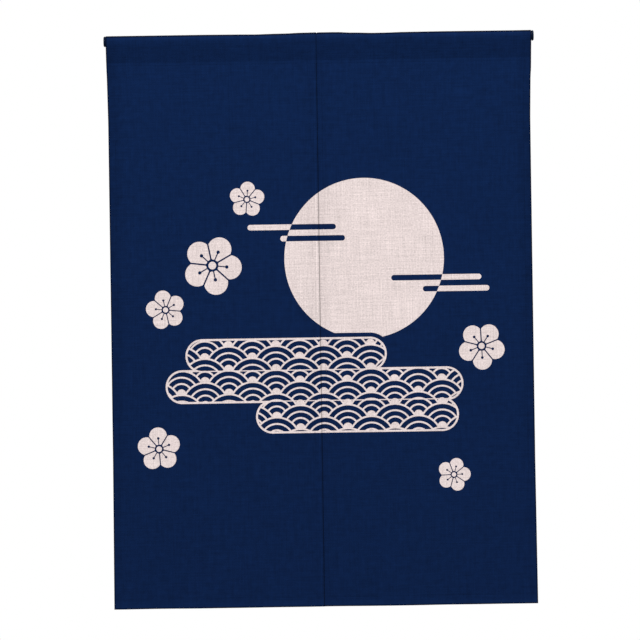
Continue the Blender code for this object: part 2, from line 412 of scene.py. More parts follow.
# %% Grid
Band = namedtuple("Band", "start end step")
SIDE_BAND = Band(0.0125, 0.0175, 0.0006)
BOTTOM_BAND = Band(0.0178, 0.0232, 0.0006)
SEAM_BAND = Band(-0.0040, 0.0085, 0.0008)
TAIL_BAND = Band(-0.0136, -0.0012, 0.0008)
Spread = namedtuple("Spread", "start end count")
SIDE_FOLD = Spread(HEM_THICKNESS / 2.0, 0.0115, 5)
BOTTOM_FOLD = Spread(0.0030, 0.0165, 5)
FIELD_START = 0.0185
FIELD_STEP = 0.0085
HANG_START = 0.0250
HANG_END_GAP = 0.0060
HANG_STEP = 0.0100
POCKET_START_GAP = 0.0100
POCKET_ROWS = 14
LOOP_ROWS = 20
BACK_ROWS = 8
BACK_END_GAP = 0.0150
EDGE_ARC = np.radians([45.0, 90.0, 135.0])
END_ARC = np.radians([78.0, 55.0, 30.0, 0.0])


def column_places(width):
    """Places across the front: closer together at the hem's fold, stitches and step."""
    hem = np.concatenate((np.linspace(*SIDE_FOLD), np.arange(*SIDE_BAND)))
    count = int((width - 2.0 * SIDE_HEM) / FIELD_STEP)
    field = np.linspace(FIELD_START, width - FIELD_START, count)
    return np.concatenate((hem, field, width - hem[::-1]))


def row_paths():
    """Paths of the rows, and how far each end ring is squeezed: cos of its angle round the end fold."""
    start = HEM_THICKNESS / 2.0 * (1.0 - np.sin(END_ARC))
    hem = np.concatenate((np.linspace(*BOTTOM_FOLD), np.arange(*BOTTOM_BAND)))
    hang_end = SEAM_PATH - HANG_END_GAP
    hang = np.linspace(HANG_START, hang_end, int((hang_end - HANG_START) / HANG_STEP))
    seam = SEAM_PATH + np.arange(*SEAM_BAND)
    pocket = np.linspace(SEAM_PATH + POCKET_START_GAP, FRONT_PATH, POCKET_ROWS)
    loop = FRONT_PATH + np.linspace(0.0, LOOP_PATH, LOOP_ROWS + 1)[1:]
    back = np.linspace(FRONT_PATH + LOOP_PATH, TAIL_PATH - BACK_END_GAP, BACK_ROWS + 1)[1:]
    tail = TAIL_PATH + np.arange(*TAIL_BAND)
    rows = np.concatenate((start, hem, hang, seam, pocket, loop, back, tail, TAIL_PATH - start[::-1]))
    squeeze = np.ones_like(rows)
    squeeze[: len(END_ARC)] = np.cos(END_ARC)
    squeeze[-len(END_ARC):] = np.cos(END_ARC[::-1])
    return rows, squeeze


print("cloth grid has", len(row_paths()[0]), "rows")

# %% [markdown]
# ## Mesh helpers
#
# A mesh also carries facts for its material. Its UV map holds places on the flat cloth in metres, so the
# print and the weave follow the cloth over the rod.

# %% Mesh helpers


def ring_quads(rows, ring):
    """Point numbers of rings in rows, the same one place on, and the quads between the rings."""
    grid = np.arange(rows * ring).reshape(rows, ring)
    after = np.roll(grid, -1, axis=1)
    return grid, after, np.stack((grid[:-1], grid[1:], after[1:], after[:-1]), axis=-1).reshape(-1, 4)


def cloth_faces(rows, ring, columns, arc):
    """Quads between neighbouring rings, and a strip with two round ends to close each end ring."""
    quads = np.roll(ring_quads(rows, ring)[2][:, ::-1], 1, axis=1)
    front = np.arange(columns)
    back = 2 * columns + arc - 1 - front
    strip = np.stack((front[:-1], back[:-1], back[1:], front[1:]), axis=-1)
    right_end = np.arange(columns - 1, columns + arc + 1)
    left_end = np.append(np.arange(2 * columns + arc - 1, ring), 0)
    last = (rows - 1) * ring
    faces = quads.tolist() + strip.tolist() + (strip[:, ::-1] + last).tolist()
    for end in (right_end[::-1], left_end[::-1], right_end + last, left_end + last):
        faces.append(end.tolist())
    return faces


def add_facts(mesh, flat, **values):
    """One number a point under each name, and a UV map of each point's place on the flat cloth."""
    for name, numbers in values.items():
        attribute = mesh.attributes.new(name, "FLOAT", "POINT")
        attribute.data.foreach_set("value", np.ascontiguousarray(numbers, dtype=np.float32).ravel())
    corner = np.empty(len(mesh.loops), dtype=np.int32)
    mesh.loops.foreach_get("vertex_index", corner)
    layer = mesh.uv_layers.new(name="flat_cloth")
    layer.data.foreach_set("uv", flat.reshape(-1, 2)[corner].astype(np.float32).ravel())


def finish_object(name, points, faces):
    """Object at the origin, shaded smooth, with these points in the row frame."""
    mesh = bpy.data.meshes.new(name)
    mesh.from_pydata(np.asarray(points).reshape(-1, 3).tolist(), [], faces)
    mesh.update()
    mesh.shade_smooth()
    obj = bpy.data.objects.new(name, mesh)
    bpy.context.scene.collection.objects.link(obj)
    return obj


print("mesh helpers ready")

# %% [markdown]
# ## The cloth as a thin closed shell
#
# Every edge of this cloth is folded under. So a cross-section of the panel is a very flat ring: the front,
# a round fold, the back with its thicker hem bands, and another round fold. The ring is carried along the
# path and thins to a round fold at both ends. Unlike a Solidify modifier, this gives the hems their real
# folded edge on the back.
#
# Three attributes say how much print shows, where the wrong side is, and painted shade and light on folds.

# %% Cloth mesh
# Painted shade of the folded sides, slit and pocket, and painted light on the stiff bottom hem
SIDE_SHADE_END = 0.034
SIDE_SHADE_LOW = 0.20
SIDE_SHADE_PATH = 0.08
SIDE_SHADE_RISE = 0.60
SLIT_SHADE = 0.40
POCKET_SHADE = 0.20
POCKET_SHADE_FADE = 0.003
BOTTOM_LIGHT = 0.90
BOTTOM_LIGHT_INSET = 0.004
BOTTOM_LIGHT_FADE = 0.010
PRINT_SHOWN_THROUGH = 0.34


def painted_shade_share(panel, place, path):
    """Painted shade: 1 at the sides, less in the pocket; negative at the stiff hem, where it paints light.
    """
    width = panel.right_x - panel.left_x
    to_outer = place if panel.is_left else width - place
    span = SIDE_SHADE_END - SIDE_STITCH
    at_outer = smooth_ramp((SIDE_SHADE_END - to_outer) / span)
    at_slit = SLIT_SHADE * smooth_ramp((SIDE_SHADE_END - width + to_outer) / span)
    at_side = np.maximum(at_outer, at_slit)
    growth = smooth_ramp((path - SIDE_SHADE_PATH) / SIDE_SHADE_RISE)
    at_side *= SIDE_SHADE_LOW + (1.0 - SIDE_SHADE_LOW) * growth
    in_pocket = smooth_ramp((path - SEAM_PATH - CLOSED_ABOVE_SEAM) / POCKET_SHADE_FADE + 1.0)
    at_bottom = smooth_ramp((BOTTOM_HEM - BOTTOM_LIGHT_INSET - path) / BOTTOM_LIGHT_FADE)
    return np.maximum(at_side, POCKET_SHADE * in_pocket) - BOTTOM_LIGHT * at_bottom


def build_cloth(panel):
    """Ring points are the outer face plus (thickness - sink) * depth along the inward normal.

    Depth is 0 on the front and 1 on the back, and (1 - cos) / 2 of the angle round a side fold.
    """
    width = panel.right_x - panel.left_x
    across = column_places(width)
    edge = HEM_THICKNESS / 2.0
    right_arc = width - edge * (1.0 - np.sin(EDGE_ARC))
    left_arc = edge * (1.0 - np.sin(EDGE_ARC[::-1]))
    place = np.concatenate((across, right_arc, across[::-1], left_arc))
    arc_depth = (1.0 - np.cos(EDGE_ARC)) / 2.0
    columns = len(across)
    depth = np.concatenate((np.zeros(columns), arc_depth, np.ones(columns), arc_depth[::-1]))
    rows, squeeze = row_paths()
    place_grid, path_grid = np.meshgrid(place, rows)
    depth_grid = 0.5 + (depth - 0.5) * squeeze[:, None]
    thickness, hem = cloth_thickness(panel, place_grid, path_grid)
    sink = stitch_sink(panel, place_grid, path_grid)
    inner = (thickness - sink) * depth_grid
    face = cloth_face(panel, place_grid, path_grid)
    points = face + inward(panel, place_grid, path_grid) * inner[..., None]
    faces = cloth_faces(len(rows), len(place), columns, len(EDGE_ARC))
    cloth = finish_object(panel.node + "_cloth", points, faces)

    wrong_side = (depth_grid > 0.5) * (1.0 - hem)
    printed = np.where(depth_grid > 0.5, 0.0, 1.0) + PRINT_SHOWN_THROUGH * wrong_side
    flat = np.stack((panel.left_x + place_grid, path_grid), axis=-1)
    # painted shade and light of the folds, kept as a point attribute for the material
    layers = painted_shade_share(panel, place_grid, path_grid)
    add_facts(cloth.data, flat, wrong_side=wrong_side, printed=printed, layers=layers)
    return cloth


cloths = {panel.node: build_cloth(panel) for panel in PANELS}
for node, cloth in cloths.items():
    print(node, "cloth has", len(cloth.data.vertices), "points and", len(cloth.data.polygons), "faces")

# %% [markdown]
# ## Stitches
#
# The thread is the cloth's own navy, so the stitches are felt more than seen. Each is a short bead that
# sinks into the cloth at both ends. One small bead is worked out, and whole arrays carry it to every
# place along a line. All of a panel's stitches are one mesh.

# %% Stitch mesh
STITCH_PITCH = 0.0032
STITCH_LENGTH = 0.0026
THREAD_RADIUS = 0.00022
BEAD_SHARES = np.array([-0.5, -0.25, 0.25, 0.5])
BEAD_GIRTHS = np.array([0.55, 1.0, 1.0, 0.55])
BEAD_SIDES = 5
BEAD_RISE = 0.00012
BEAD_SINK = 0.00006
LINE_START = 0.004
LINE_END_GAP = 0.003
STITCH_SHADE = 0.3
JOIN_INSET = 0.0022
JOIN_BELOW_SEAM = 0.012


def bead_rows(panel, place, path, inside):
    """Bead points for each stitch: its middle plus along, side and up parts of one small bead.

    Along and side are the line's direction and its cross product with up. Up is the outward normal on
    the face, or the inward one on the back. The bead's middle stands proud by a parabola.
    """
    into = inward(panel, place, path)
    middle = cloth_face(panel, place, path)
    thickness, _ = cloth_thickness(panel, place, path)
    thickness = thickness - stitch_sink(panel, place, path)
    up = into if inside else -into
    middle = middle + into * (thickness * inside)[:, None]
    line = np.gradient(middle, axis=0)
    along = line / np.linalg.norm(line, axis=1, keepdims=True)
    side = np.cross(up, along)
    turn = np.arange(BEAD_SIDES) / BEAD_SIDES * 2.0 * math.pi
    girth = THREAD_RADIUS * BEAD_GIRTHS[:, None]
    rise = BEAD_RISE * (1.0 - (2.0 * BEAD_SHARES) ** 2)[:, None] - BEAD_SINK
    sideways = girth * np.cos(turn)
    upwards = girth * np.sin(turn) + rise
    length = np.broadcast_to(STITCH_LENGTH * BEAD_SHARES[:, None], sideways.shape)
    parts = np.stack((length, sideways, upwards), axis=-1).reshape(-1, 3)
    axes = np.stack((along, side, up), axis=1)
    return middle[:, None] + np.einsum("pk,skd->spd", parts, axes)


def bead_faces(stitches):
    """Quads round the bead's sides and one face at each end, repeated for every stitch."""
    grid, _, quads = ring_quads(len(BEAD_SHARES), BEAD_SIDES)
    caps = np.stack((grid[0], grid[-1][::-1]))[:, ::-1]
    offset = np.arange(stitches)[:, None, None] * grid.size
    all_quads = (quads[:, ::-1] + offset).reshape(-1, 4)
    all_caps = (caps + offset).reshape(-1, BEAD_SIDES)
    return all_quads.tolist() + all_caps.tolist()


def stitch_lines(panel):
    """Place and path arrays of each line, with whether it lies on the inside of the cloth."""
    width = panel.right_x - panel.left_x
    down = np.arange(LINE_START, TAIL_PATH - LINE_END_GAP, STITCH_PITCH)
    over = np.arange(LINE_START, width - LINE_END_GAP, STITCH_PITCH)
    lines = []
    for inside in (False, True):
        lines += [(np.full_like(down, SIDE_STITCH), down, inside)]
        lines += [(np.full_like(down, width - SIDE_STITCH), down, inside)]
        lines += [(over, np.full_like(over, BOTTOM_STITCH), inside)]
    for path in (SEAM_PATH, BACK_SEAM_PATH):
        lines += [(over, np.full_like(over, path), False)]
    if panel.is_left:
        join = np.arange(SEAM_PATH - JOIN_BELOW_SEAM, BACK_SEAM_PATH, STITCH_PITCH)
        lines += [(np.full_like(join, width - JOIN_INSET), join, False)]
    return lines


def build_stitches(panel):
    """All the panel's beads as one object, and their number. Print shows on the outer ones only."""
    lines = stitch_lines(panel)
    beads = np.concatenate([bead_rows(panel, *line) for line in lines])
    places, paths = np.concatenate([line[:2] for line in lines], axis=1)
    outside = np.concatenate([np.full(len(line[0]), float(not line[2])) for line in lines])
    # painted shade of the folds, plus a slightly deeper tone for the thread
    shade = painted_shade_share(panel, places, paths) + STITCH_SHADE
    flat = np.stack((panel.left_x + places, paths), axis=-1)
    rows = finish_object(panel.stitches, beads, bead_faces(len(beads)))
    flat, printed, layers = (np.repeat(fact, beads.shape[1], axis=0) for fact in (flat, outside, shade))
    add_facts(rows.data, flat, wrong_side=np.zeros(len(layers)), printed=printed, layers=layers)
    return rows, len(beads)


stitches = {}
for panel in PANELS:
    stitches[panel.node], made = build_stitches(panel)
    print(panel.stitches, "holds", made, "stitches")

# %% [markdown]
# ## Rod ends
#
# A moulded rubber foot closes each end of the tube. It has a rounded rim, shallow grip rings on its face
# and a plug inside the tube. It is a profile of radius and height, turned round the rod's axis.

# %% Caps
ROD_END = 0.4287
ROD_WALL = 0.0008
FIT_GAP = 0.0003
CAP_RADIUS = 0.0105
CAP_FLANGE = 0.0040
CAP_ROUNDING = 0.0028
CAP_PLUG_DEPTH = 0.0120
CAP_SIDES = 72
GRIP_RINGS = (0.0018, 0.0034, 0.0050, 0.0066)
GRIP_DEPTH = 0.00035
GRIP_WIDTH = 0.00045
FACE_STEP = 0.00015
RIM_POINTS = 12
CAP_BEVEL = 0.0003


def cap_profile():
    """Radius and height from the face's middle out: grooved face, quarter-round rim, flange, plug."""
    face_radius = np.arange(0.0, CAP_RADIUS - CAP_ROUNDING, FACE_STEP)[1:]
    grooves = sum(bell(face_radius - ring, GRIP_WIDTH) for ring in GRIP_RINGS)
    face = np.stack((face_radius, CAP_FLANGE - GRIP_DEPTH * grooves), axis=-1)
    turn = np.linspace(0.0, math.pi / 2.0, RIM_POINTS)
    rim_radius = CAP_RADIUS - CAP_ROUNDING * (1.0 - np.sin(turn))
    rim = np.stack((rim_radius, CAP_FLANGE - CAP_ROUNDING * (1.0 - np.cos(turn))), axis=-1)
    plug_radius = ROD_RADIUS - ROD_WALL - FIT_GAP
    plug = [
        (CAP_RADIUS, CAP_BEVEL),
        (CAP_RADIUS - CAP_BEVEL, 0.0),
        (plug_radius, 0.0),
        (plug_radius, CAP_BEVEL - CAP_PLUG_DEPTH),
        (plug_radius - CAP_BEVEL, -CAP_PLUG_DEPTH),
    ]
    return np.concatenate((face, rim, plug))


def build_cap(node, side):
    """Point at (end + side * height, radius * cos, radius * sin) for each angle, closed at both poles."""
    profile = cap_profile()
    turn = np.arange(CAP_SIDES) / CAP_SIDES * 2.0 * math.pi
    y = profile[:, :1] * np.cos(turn) * side
    z = profile[:, :1] * np.sin(turn)
    x = np.broadcast_to(side * (ROD_END + FIT_GAP + profile[:, 1:]), y.shape)
    rings = np.stack((x, y, z), axis=-1).reshape(-1, 3)
    poles = np.array([
        (side * (ROD_END + FIT_GAP + CAP_FLANGE), 0.0, 0.0),
        (side * (ROD_END + FIT_GAP - CAP_PLUG_DEPTH), 0.0, 0.0),
    ])
    grid, after, quads = ring_quads(len(profile), CAP_SIDES)
    face_pole = np.full(CAP_SIDES, len(rings))
    faces = quads.tolist() + np.stack((face_pole, grid[0], after[0]), axis=-1).tolist()
    faces += np.stack((face_pole + 1, after[-1], grid[-1]), axis=-1).tolist()
    return finish_object(node + "_foot", np.concatenate((rings, poles)), faces)


caps = {"rod_cap_left": build_cap("rod_cap_left", -1.0), "rod_cap_right": build_cap("rod_cap_right", 1.0)}
for node, cap in caps.items():
    print(node, "foot has", len(cap.data.polygons), "faces")

# %% [markdown]
# ## Small tools for materials
#
# A printed pattern is arithmetic on the cloth's flat coordinates, which the UV map holds in metres. The
# helpers write it as short lines: each *calc* adds one Math node and returns its output.

# %% Node helpers


def connect(tree, socket, value):
    """Links another node's output to the socket, or sets the socket to a number or colour."""
    if isinstance(value, bpy.types.NodeSocket):
        tree.links.new(value, socket)
    else:
        socket.default_value = value


def calc(tree, operation, *values):
    """One Math node: the operation's name, then its numbers or other nodes' outputs."""
    node = tree.nodes.new("ShaderNodeMath")
    node.operation = operation
    for socket, value in zip(node.inputs, values):
        connect(tree, socket, value)
    return node.outputs[0]


def minus(tree, first, second):
    """First minus second."""
    return calc(tree, "SUBTRACT", first, second)


def times(tree, first, second):
    """First times second."""
    return calc(tree, "MULTIPLY", first, second)


def length_of(tree, across, up):
    """Square root of across squared plus up squared."""
    squares = calc(tree, "MULTIPLY_ADD", across, across, times(tree, up, up))
    return calc(tree, "SQRT", squares)


def away_from(tree, value, place):
    """Size of value minus place."""
    return calc(tree, "ABSOLUTE", minus(tree, value, place))


def pick(tree, chooser, if_one, if_zero):
    """if_zero plus chooser times the difference, so 1 picks the first and 0 the second."""
    return calc(tree, "MULTIPLY_ADD", chooser, minus(tree, if_one, if_zero), if_zero)


def noise(tree, vector, stretch, detail=2.0):
    """Noise with about so many waves a metre along each axis; it is about 0.5 on average."""
    mapping = tree.nodes.new("ShaderNodeMapping")
    mapping.inputs["Scale"].default_value = stretch
    tree.links.new(vector, mapping.inputs["Vector"])
    texture = tree.nodes.new("ShaderNodeTexNoise")
    texture.inputs["Scale"].default_value = 1.0
    texture.inputs["Detail"].default_value = detail
    tree.links.new(mapping.outputs["Vector"], texture.inputs["Vector"])
    return texture.outputs["Fac"]


def smooth_step(tree, value, low, high):
    """0 at low, 1 at high, and an even S between them."""
    node = tree.nodes.new("ShaderNodeMapRange")
    node.interpolation_type = "SMOOTHSTEP"
    connect(tree, node.inputs["Value"], value)
    node.inputs["From Min"].default_value = min(low, high)
    node.inputs["From Max"].default_value = max(low, high)
    node.inputs["To Min"].default_value = float(low > high)
    node.inputs["To Max"].default_value = float(low < high)
    return node.outputs["Result"]


def near_line(tree, distance, half_width, softness):
    """1 up to the half width, 0 beyond it, and a soft S between."""
    return smooth_step(tree, distance, half_width + softness, half_width - softness)


def blend_colour(tree, share, first, second, mode="MIX"):
    """First plus share times the way to second; MULTIPLY goes that way towards their product."""
    node = tree.nodes.new("ShaderNodeMix")
    node.data_type = "RGBA"
    node.blend_type = mode
    connect(tree, node.inputs["Factor"], share)
    connect(tree, node.inputs["A"], first)
    connect(tree, node.inputs["B"], second)
    return node.outputs["Result"]


def shade_base(tree, shader, colour, shade):
    """Base colour is the colour times a grey of the shade's value."""
    grey = tree.nodes.new("ShaderNodeCombineColor")
    for channel in ("Red", "Green", "Blue"):
        tree.links.new(shade, grey.inputs[channel])
    shaded = blend_colour(tree, 1.0, colour, grey.outputs["Color"], "MULTIPLY")
    tree.links.new(shaded, shader.inputs["Base Color"])


def bump(tree, height, distance, strength, below=None):
    """Normal tilted by the slope of distance * height, on top of the relief below."""
    node = tree.nodes.new("ShaderNodeBump")
    node.inputs["Distance"].default_value = distance
    node.inputs["Strength"].default_value = strength
    tree.links.new(height, node.inputs["Height"])
    if below is not None:
        tree.links.new(below, node.inputs["Normal"])
    return node.outputs["Normal"]


print("node helpers ready")

# %% [markdown]
# ## The dye pattern
#
# The print is pale undyed-looking cloth on navy, as a paste-resist print leaves it: a full moon with
# drifting bands of mist, plum blossoms, and a sea of overlapping wave scales, called *seigaiha*, in a
# cloud of three bars. All are old common motifs, each drawn by its own formula, so edges stay sharp at
# any size. A blossom's parts are shares of its size.

# %% Print sizes
Moon = namedtuple("Moon", "x path radius")
MOON = Moon(x=0.086, path=0.700, radius=0.162)
Mist = namedtuple("Mist", "x path half_length half_height")
MISTS = [Mist(*row) for row in (
    (-0.060, 0.765, 0.084, 0.0056),
    (-0.018, 0.742, 0.060, 0.0056),
    (0.232, 0.660, 0.086, 0.0056),
    (0.272, 0.637, 0.062, 0.0056),
)]
Blossom = namedtuple("Blossom", "x path size turn")
BLOSSOMS = [Blossom(*row) for row in (
    (-0.222, 0.690, 0.060, 0.20),
    (-0.318, 0.602, 0.040, 0.85),
    (-0.150, 0.822, 0.036, 0.55),
    (0.322, 0.520, 0.048, 0.05),
    (-0.335, 0.322, 0.044, 0.70),
    (0.262, 0.262, 0.034, 0.35),
)]
WAVE_RADIUS = 0.0480
WAVE_LINES = ((0.00, 0.20), (0.390, 0.465), (0.655, 0.730), (0.925, 1.001))
SEA_BARS = [Mist(*row) for row in (
    (-0.075, 0.508, 0.170, 0.0340),
    (-0.018, 0.446, 0.268, 0.0340),
    (0.068, 0.384, 0.172, 0.0340),
)]
SEA_RIM = 0.0040
SEA_MARGIN = 0.0085
PETAL_MIDDLE = 0.59
PETAL_RADIUS = 0.405
PETAL_GAP = 0.026
PETAL_START = 0.205
HEART_RADIUS = 0.13
STALK_HALF_WIDTH = 0.020
STALK_END = 0.46
STAMEN_MIDDLE = 0.49
STAMEN_RADIUS = 0.058
print("print has", len(MISTS), "mist bars and", len(BLOSSOMS), "blossoms")

# %% [markdown]
# ## Moon, mist and sea
#
# - Moon: distance to its middle is less than its radius.
# - Mist: distance to a short level line is less than its half height. Where mist crosses the moon, pale
#   turns to navy, which is what taking the difference of the two does.
# - Sea: three such bars joined to one cloud, with a pale rim inside and a navy margin round it.
# - Wave scales: rows of circles, each row half a radius above the last and shifted by one radius. The
#   lowest circle that covers a point is the one that shows, and its distance picks a ring.

# %% Moon, mist and sea


def disc(tree, u, v, x, path, radius):
    """1 where the distance to (x, path) is less than the radius."""
    across = minus(tree, u, x)
    up = minus(tree, v, path)
    return calc(tree, "LESS_THAN", length_of(tree, across, up), radius)


def bar_distance(tree, u, v, bar):
    """Distance to a round-ended level bar: negative inside it."""
    past_end = minus(tree, away_from(tree, u, bar.x), bar.half_length)
    across = calc(tree, "MAXIMUM", past_end, 0.0)
    up = minus(tree, v, bar.path)
    return minus(tree, length_of(tree, across, up), bar.half_height)


def nearest_bar(tree, u, v, bars):
    """Least of the distances to the bars, which joins them into one shape."""
    nearest = 1.0
    for bar in bars:
        nearest = calc(tree, "MINIMUM", bar_distance(tree, u, v, bar), nearest)
    return nearest


def moon_and_mist(tree, u, v):
    """Size of the difference between moon and mist: pale where only one of them is."""
    mist = calc(tree, "LESS_THAN", nearest_bar(tree, u, v, MISTS), 0.0)
    moon = disc(tree, u, v, MOON.x, MOON.path, MOON.radius)
    return away_from(tree, moon, mist)


def wave_rings(tree, u, v):
    """Ring pattern of the lowest circle that covers the point."""
    row_step = WAVE_RADIUS / 2.0
    to_first = minus(tree, v, WAVE_RADIUS)
    first_row = calc(tree, "CEIL", calc(tree, "DIVIDE", to_first, row_step))
    shown = 1.0
    for later in (2.0, 1.0, 0.0):
        row = calc(tree, "ADD", first_row, later)
        odd = calc(tree, "FLOORED_MODULO", row, 2.0)
        shifted = minus(tree, u, times(tree, odd, WAVE_RADIUS))
        column = calc(tree, "ROUND", calc(tree, "DIVIDE", shifted, 2.0 * WAVE_RADIUS))
        across = minus(tree, shifted, times(tree, column, 2.0 * WAVE_RADIUS))
        middle = times(tree, row, row_step)
        distance = length_of(tree, across, minus(tree, v, middle))
        share = calc(tree, "DIVIDE", distance, WAVE_RADIUS)
        shown = pick(tree, calc(tree, "LESS_THAN", share, 1.0), share, shown)
    pattern = 0.0
    for low, high in WAVE_LINES:
        above = calc(tree, "GREATER_THAN", shown, low)
        band = times(tree, above, calc(tree, "LESS_THAN", shown, high))
        pattern = calc(tree, "MAXIMUM", band, pattern)
    return pattern


def sea_and_sky(tree, u, v):
    """Moon and mist beyond the sea's margin, and inside the sea its waves and rim line."""
    to_sea = nearest_bar(tree, u, v, SEA_BARS)
    beyond = calc(tree, "GREATER_THAN", to_sea, SEA_MARGIN)
    sky = times(tree, moon_and_mist(tree, u, v), beyond)
    rim = calc(tree, "GREATER_THAN", to_sea, -SEA_RIM)
    sea = calc(tree, "MAXIMUM", wave_rings(tree, u, v), rim)
    inside = calc(tree, "LESS_THAN", to_sea, 0.0)
    return calc(tree, "MAXIMUM", sky, times(tree, sea, inside))


print("sea has", len(SEA_BARS), "bars")

# %% [markdown]
# ## Plum blossom
#
# The angle round a flower is folded into five equal parts, and each holds one round petal. All flowers
# share one node group.

# %% Plum blossom


def blossom_group():
    """Node group: five petals, thin gaps between them, a round heart and a stamen on each petal.

    All lengths are shares of the flower's size. The folded angle runs from minus to plus 36 degrees
    about a petal's axis, so sideways is radius * sin and outward is radius * cos of it.
    """
    group = bpy.data.node_groups.new("plum_blossom", "ShaderNodeTree")
    for name in ("u", "v", *Blossom._fields):
        group.interface.new_socket(name, in_out="INPUT", socket_type="NodeSocketFloat")
    group.interface.new_socket("petals", in_out="OUTPUT", socket_type="NodeSocketFloat")
    given = group.nodes.new("NodeGroupInput").outputs
    across = calc(group, "DIVIDE", minus(group, given["u"], given["x"]), given["size"])
    up = calc(group, "DIVIDE", minus(group, given["v"], given["path"]), given["size"])
    radius = length_of(group, across, up)
    fifth = 2.0 * math.pi / 5.0
    angle = calc(group, "ADD", calc(group, "ARCTAN2", across, up), given["turn"])
    folded = minus(group, calc(group, "FLOORED_MODULO", angle, fifth), fifth / 2.0)
    sideways = times(group, radius, calc(group, "SINE", folded))
    outward = times(group, radius, calc(group, "COSINE", folded))
    petal = disc(group, sideways, outward, 0.0, PETAL_MIDDLE, PETAL_RADIUS)
    to_gap = minus(group, fifth / 2.0, calc(group, "ABSOLUTE", folded))
    gap_width = times(group, radius, calc(group, "SINE", to_gap))
    petal = times(group, petal, calc(group, "GREATER_THAN", gap_width, PETAL_GAP))
    petal = times(group, petal, calc(group, "GREATER_THAN", radius, PETAL_START))
    heart = calc(group, "LESS_THAN", radius, HEART_RADIUS)
    stalk = calc(group, "LESS_THAN", calc(group, "ABSOLUTE", sideways), STALK_HALF_WIDTH)
    stalk = times(group, stalk, calc(group, "LESS_THAN", outward, STALK_END))
    tip = disc(group, sideways, outward, 0.0, STAMEN_MIDDLE, STAMEN_RADIUS)
    stamen = calc(group, "MAXIMUM", stalk, tip)
    petal = times(group, petal, minus(group, 1.0, stamen))
    result = group.nodes.new("NodeGroupOutput")
    group.links.new(calc(group, "MAXIMUM", petal, heart), result.inputs["petals"])
    return group


blossom_nodes = blossom_group()


def print_mask(tree, u, v):
    """Highest of the motifs' values."""
    mask = sea_and_sky(tree, u, v)
    for flower in BLOSSOMS:
        node = tree.nodes.new("ShaderNodeGroup")
        node.node_tree = blossom_nodes
        for name, value in {"u": u, "v": v, **flower._asdict()}.items():
            connect(tree, node.inputs[name], value)
        mask = calc(tree, "MAXIMUM", mask, node.outputs["petals"])
    return mask


print("blossom group has", len(blossom_nodes.nodes), "nodes")

# %% [markdown]
# ## Painted shade and highlight of folds and edges
#
# Painted shade draws a dark line at the slit, where the hems press together, and a painted
# highlight lies along the fold beside it. More painted shade darkens the outer and bottom edges,
# and the top, where the cloth turns over the rod.

# %% Shades
# Painted shade and painted highlight at the slit, painted shade along the edges and over the loop's top
CREASE_X = -0.0053
CREASE_HALF_WIDTH = 0.0012
CREASE_SOFTNESS = 0.0003
CREASE_SHADE = 0.42
CREASE_LOSS_IN_POCKET = 0.5
EDGE_SHADE = 0.50
EDGE_WIDTH = 0.0027
EDGE_SOFTNESS = 0.0005
RIDGE_SHADE = 0.72
RIDGE_PATH = FRONT_PATH + LOOP_PATH / 2.0
RIDGE_HALF_WIDTH = 0.0095
RIDGE_SOFTNESS = 0.0015
FOLD_X = -0.0105
FOLD_WIDTH = 0.0014
PAINTED_FOLD_HIGHLIGHT = 0.20


def crease_shade(tree, u, v):
    """Painted shade where the panels' hems press together, and a painted highlight along the fold beside
    it.

    Both are S curves of a distance. They halve in the pocket, where the hems are joined.
    """
    near = near_line(tree, away_from(tree, u, CREASE_X), CREASE_HALF_WIDTH, CREASE_SOFTNESS)
    in_pocket = calc(tree, "GREATER_THAN", v, SEAM_PATH)
    strength = calc(tree, "MULTIPLY_ADD", in_pocket, -CREASE_LOSS_IN_POCKET, 1.0)
    # painted shade: the dark line where the hems press together
    painted_dark_line = calc(tree, "MULTIPLY_ADD", times(tree, near, strength), -CREASE_SHADE, 1.0)
    # painted highlight along the fold beside the slit
    at_fold = smooth_step(tree, away_from(tree, u, FOLD_X), FOLD_WIDTH, 0.0)
    light = times(tree, at_fold, strength)
    return times(tree, painted_dark_line, calc(tree, "MULTIPLY_ADD", light, PAINTED_FOLD_HIGHLIGHT, 1.0))


# Painted shade darkens the outer and bottom edges and the top of the loop.
def edge_shade(tree, u, v):
    """1 minus the larger of two painted shades: one near the outer and bottom edges, one over the loop's
    top.
    """
    to_left = minus(tree, u, PANELS[0].left_x)
    to_right = minus(tree, PANELS[1].right_x, u)
    to_edge = calc(tree, "MINIMUM", calc(tree, "MINIMUM", to_left, to_right), v)
    at_edge = near_line(tree, to_edge, EDGE_WIDTH, EDGE_SOFTNESS)
    at_ridge = near_line(tree, away_from(tree, v, RIDGE_PATH), RIDGE_HALF_WIDTH, RIDGE_SOFTNESS)
    edge = times(tree, at_edge, EDGE_SHADE)
    ridge = times(tree, at_ridge, RIDGE_SHADE)
    return minus(tree, 1.0, calc(tree, "MAXIMUM", edge, ridge))


print("shades ready")

# %% [markdown]
# ## The cloth's material
#
# The cloth is a linen-look weave. From a step away it shows long thin level and upright threads, a little
# lighter or darker than the ground, with a finer grain on the pale print and broader patches in the deep
# dye. Close up there is the plain weave itself, one thread over and one under. The navy is painted
# a little darker towards the hem, as painted shade. The dye doesn't go right through, so the wrong side
# is paler and its print is faint. Folded sides and the pocket carry painted shade, and the stiff bottom
# hem painted light.

# %% Cloth material
NAVY = (0.0030, 0.0153, 0.0668, 1.0)
